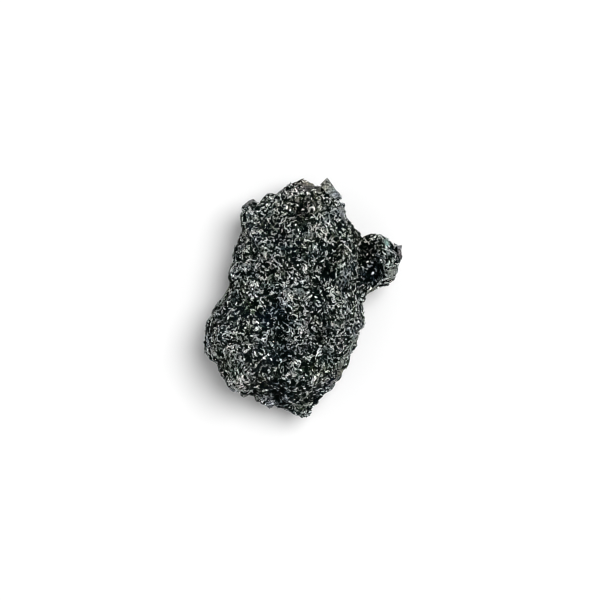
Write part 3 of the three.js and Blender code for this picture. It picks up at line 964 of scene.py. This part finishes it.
def build_facets(surface, material):
    """The flat cleavage faces: thin closed slabs that lie on the matrix, each with a step on it."""
    random = np.random.default_rng(FACET_SEED)
    vertices, faces, tones = [], [], []
    for outline, tone, lift in FACETS:
        plane = fitted_plane(surface, outline)
        for is_step in (False, True):
            rim = chipped(anticlockwise(outline), random)
            if is_step:
                rim = stepped(rim, random)
                tone *= STEP_TONE
                lift += STEP_HEIGHT
            count = len(rim)
            faces += slab_faces(count, len(FACET_RINGS), len(vertices))
            slab = slab_vertices(rim, plane, lift)
            vertices += slab
            tones += [tone] * count + [tone * FACET_EDGE_TONE] * (len(slab) - count)
    mesh = bpy.data.meshes.new("facets")
    mesh.from_pydata((np.array(vertices) * MM).tolist(), [], faces)
    add_values(mesh, "tone", tones)
    return new_piece("facets", mesh, material)


# Materials


class Nodes:
    """The nodes of a material, of a group or of the room."""

    def __init__(self, tree):
        self.tree = tree
        self.places = self.add("ShaderNodeTexCoord").outputs

    def feed(self, socket, value):
        """Gives a socket a value, or links another node's output to it."""
        if isinstance(value, bpy.types.NodeSocket):
            self.tree.links.new(value, socket)
        elif socket.type == "RGBA":
            socket.default_value = (*value, 1.0)
        else:
            socket.default_value = value

    def add(self, kind, inputs=None, **settings):
        """A new node with these settings. An input is a value or another node's output."""
        node = self.tree.nodes.new(kind)
        for name, value in settings.items():
            setattr(node, name, value)
        for name, value in (inputs or {}).items():
            self.feed(node.inputs[name], value)
        return node

    def noise(self, size, detail=2.0, roughness=0.5, places=None, output="Fac"):
        """Noise whose lumps are about size millimetres across."""
        places = self.places["Object"] if places is None else places
        inputs = {"Vector": places, "Scale": 1 / (size * MM), "Detail": detail, "Roughness": roughness}
        return self.add("ShaderNodeTexNoise", inputs).outputs[output]

    def attribute(self, name):
        """A value that the mesh keeps for each vertex."""
        return self.add("ShaderNodeAttribute", attribute_name=name).outputs["Fac"]

    def strands(self):
        """Uneven lines that run along each scale."""
        inputs = {"W": self.attribute("strand"), "Scale": 1 / STRAND_SIZE, "Detail": 1.0}
        return self.add("ShaderNodeTexNoise", inputs, noise_dimensions="1D").outputs["Fac"]

    def cleavage(self):
        """Uneven lines that run one way across the flat faces."""
        inputs = {"Vector": self.places["Object"], "Rotation": CLEAVAGE_TURN, "Scale": CLEAVAGE_STRETCH}
        turned = self.add("ShaderNodeMapping", inputs)
        return self.noise(CLEAVAGE_SIZE, detail=FINE_DETAIL, places=turned.outputs["Vector"])

    def ramp(self, factor, stops):
        """Colours along a factor."""
        node = self.add("ShaderNodeValToRGB", {"Fac": factor})
        elements = node.color_ramp.elements
        while len(elements) < len(stops):
            elements.new(0.5)
        for element, (position, colour) in zip(elements, stops):
            element.position = position
            element.color = (*colour, 1.0)
        return node.outputs["Color"]

    def mix(self, share, first, second, blend="MIX"):
        """Two colours mixed. The share isn't clamped, so above 1 it goes past the second colour."""
        inputs = {MIX_SHARE: share, MIX_FIRST: first, MIX_SECOND: second}
        node = self.add("ShaderNodeMix", inputs, data_type="RGBA", blend_type=blend, clamp_factor=False)
        return node.outputs[MIX_RESULT]

    def multiply(self, first, second):
        return self.mix(1.0, first, second, "MULTIPLY")

    def spread(self, factor, target, span=NOISE_SPAN, **settings):
        """A factor stretched from one span to another, and held within it."""
        ends = zip(("From Min", "From Max", "To Min", "To Max"), (*span, *target))
        return self.add("ShaderNodeMapRange", {"Value": factor, **dict(ends)}, **settings).outputs["Result"]

    def vectors(self, operation, *vectors, output="Vector"):
        """What an operation makes of some vectors."""
        node = self.add("ShaderNodeVectorMath", dict(enumerate(vectors)), operation=operation)
        return node.outputs[output]

    def stained(self, colour):
        """A colour under the patches of hue and the stains."""
        return self.add("ShaderNodeGroup", {0: colour}, node_tree=bpy.data.node_groups["stains"]).outputs[0]

    def bump(self, height, depth):
        """The normal of a surface with a fine relief."""
        return self.add("ShaderNodeBump", {"Height": height, "Distance": depth * MM}).outputs["Normal"]


class Material(Nodes):
    """A material's nodes."""

    def __init__(self, name):
        self.material = bpy.data.materials.new(name)
        self.material.use_nodes = True
        super().__init__(self.material.node_tree)

    def shaded(self, inputs):
        """The material, once its shader has these inputs."""
        for name, value in inputs.items():
            self.feed(self.tree.nodes["Principled BSDF"].inputs[name], value)
        return self.material


def build_stains():
    """A group of nodes that tints a colour by soft patches of hue and by the named stains."""
    group = bpy.data.node_groups.new("stains", "ShaderNodeTree")
    for way in ("INPUT", "OUTPUT"):
        group.interface.new_socket("Colour", in_out=way, socket_type="NodeSocketColor")
    nodes = Nodes(group)
    hue = nodes.noise(HUE_PATCH, output="Color")
    tint = nodes.vectors("MULTIPLY_ADD", hue, HUE_SPREAD, [1 - share / 2 for share in HUE_SPREAD])
    colour = nodes.multiply(nodes.add("NodeGroupInput").outputs[0], tint)
    flat = nodes.vectors("MULTIPLY", nodes.places["Object"], (1, 1, 0))
    for x, y, radius, stain in STAINS:
        distance = nodes.vectors("DISTANCE", flat, (x * MM, y * MM, 0), output="Value")
        span = (STAIN_RIM * radius * MM, STAIN_HEART * radius * MM)
        nearness = nodes.spread(distance, (0, 1), span, interpolation_type="SMOOTHSTEP")
        colour = nodes.mix(nearness, colour, stain, "MULTIPLY")
    nodes.add("NodeGroupOutput", {0: colour})


def matrix_material():
    """Nearly black, with dark green lumps and bluer patches."""
    nodes = Material("matrix")
    colour = nodes.ramp(nodes.noise(MATRIX_LUMP, LUMP_DETAIL, LUMP_ROUGHNESS), MATRIX_COLOURS)
    blue = nodes.spread(nodes.noise(BLUE_PATCH), BLUE_SHARES, BLUE_SPAN)
    return nodes.shaded({
        "Base Color": nodes.stained(nodes.mix(blue, colour, BLUE_COLOUR)),
        "Roughness": nodes.spread(nodes.noise(MATRIX_SHEEN_SIZE), MATRIX_ROUGHNESS),
        "Specular IOR Level": MATRIX_SPECULAR,
        "Specular Tint": MATRIX_GLOSS,
        "Normal": nodes.bump(nodes.noise(MATRIX_GRAIN, detail=FINE_DETAIL), MATRIX_GRAIN_DEPTH),
    })


def scale_material(kind):
    """A set's colours by how light each scale is, mottled and lined along each scale."""
    nodes = Material(kind.name)
    colour = nodes.mix(nodes.attribute("tone"), kind.dark, kind.light)
    mottling = nodes.spread(nodes.noise(MOTTLE_SIZE, detail=FINE_DETAIL), MOTTLE_SHARES, MOTTLE_SPAN)
    grain = nodes.multiply(mottling, nodes.spread(nodes.strands(), STRAND_SHARES, STRAND_SPAN))
    tint = nodes.ramp(nodes.attribute("tint"), TINTS)
    colour = nodes.mix(kind.grain, colour, grain, "MULTIPLY")
    stained = nodes.stained(nodes.multiply(colour, tint))
    roughness = [kind.roughness * share for share in SHEEN_SHARES]
    return nodes.shaded({
        "Base Color": nodes.mix(kind.hue, colour, stained),
        "Roughness": nodes.spread(nodes.noise(SHEEN_SIZE), roughness),
        "Specular IOR Level": kind.specular,
        "Specular Tint": kind.gloss,
        "Normal": nodes.bump(nodes.strands(), STRAND_DEPTH),
    })


def facet_material():
    """The grey of the flat faces, with specks and with lines that run one way."""
    nodes = Material("facets")
    colour = nodes.mix(nodes.attribute("tone"), *FACET_COLOURS)
    colour = nodes.multiply(colour, nodes.ramp(nodes.noise(SPECK_SIZE, detail=FINE_DETAIL), SPECKS))
    colour = nodes.multiply(colour, nodes.spread(nodes.cleavage(), CLEAVAGE_SHARES, CLEAVAGE_SPAN))
    return nodes.shaded({
        "Base Color": nodes.stained(colour),
        "Roughness": nodes.spread(nodes.noise(FACET_SHEEN_SIZE), FACET_ROUGHNESS),
        "Specular IOR Level": FACET_SPECULAR,
        "Normal": nodes.bump(nodes.noise(FACET_GRAIN, detail=FINE_DETAIL), FACET_GRAIN_DEPTH),
    })


def floor_material():
    return Material("floor").shaded({
        "Base Color": FLOOR_COLOUR,
        "Roughness": FLOOR_ROUGHNESS,
        "Specular IOR Level": FLOOR_SPECULAR,
    })


# The room


def build_floor():
    """A plain square floor."""
    mesh = bpy.data.meshes.new("floor")
    half = FLOOR_SIZE * MM / 2
    corners = [(-half, -half, 0), (half, -half, 0), (half, half, 0), (-half, half, 0)]
    mesh.from_pydata(corners, [], [(0, 1, 2, 3)])
    mesh.materials.append(floor_material())
    floor = bpy.data.objects.new("floor", mesh)
    bpy.context.scene.collection.objects.link(floor)


def build_sky():
    """A white room, brighter near the floor than overhead."""
    world = bpy.data.worlds.new("room")
    bpy.context.scene.world = world
    world.use_nodes = True
    nodes = Nodes(world.node_tree)
    height = nodes.add("ShaderNodeSeparateXYZ", {"Vector": nodes.places["Generated"]}).outputs["Z"]
    background = world.node_tree.nodes["Background"]
    strength = nodes.spread(height, (SKY_AT_HORIZON, SKY_AT_ZENITH), (0, 1))
    nodes.feed(background.inputs["Strength"], strength)
    nodes.feed(background.inputs["Color"], WHITE)


def build_key_light():
    """A large round lamp above the stone, towards the top right of the picture."""
    light = bpy.data.lights.new("key", "AREA")
    light.shape = "DISK"
    light.size = KEY_DIAMETER * MM
    light.energy = KEY_POWER
    lamp = bpy.data.objects.new("key", light)
    bpy.context.scene.collection.objects.link(lamp)
    azimuth, elevation = math.radians(KEY_AZIMUTH), math.radians(KEY_ELEVATION)
    level = math.cos(elevation)
    towards = Vector((math.cos(azimuth) * level, math.sin(azimuth) * level, math.sin(elevation)))
    lamp.location = towards * KEY_DISTANCE * MM
    lamp.rotation_euler = towards.to_track_quat("Z", "Y").to_euler()
    lamp.visible_camera = False


def build_camera():
    """The camera, straight above the stone. A camera looks down unless it is turned."""
    camera = bpy.data.objects.new("camera", bpy.data.cameras.new("camera"))
    bpy.context.scene.collection.objects.link(camera)
    bpy.context.scene.camera = camera
    camera.data.lens = LENS
    camera.data.sensor_width = SENSOR
    camera.data.clip_start = NEAREST_SEEN * MM
    camera.data.clip_end = FARTHEST_SEEN * MM
    distance = VIEW_WIDTH * LENS / SENSOR
    camera.location = Vector((*VIEW_CENTRE, VIEW_HEIGHT + distance)) * MM


build_camera()
build_floor()
build_sky()
build_key_light()
bpy.context.scene.view_settings.view_transform = "Standard"
bpy.context.scene.cycles.filter_width = PIXEL_FILTER

build_stains()
stone_surface = build_matrix(matrix_material())
stone_random = np.random.default_rng(SEED)
for scale_set, set_spots in zip(SCALE_SETS, scale_spots(stone_surface, stone_random)):
    build_scales(scale_set, set_spots, stone_random)
build_scales(PAINTED_GLINT_SET, topmost(stone_surface, PAINTED_GLINT_PLACES), stone_random)
build_facets(stone_surface, facet_material())
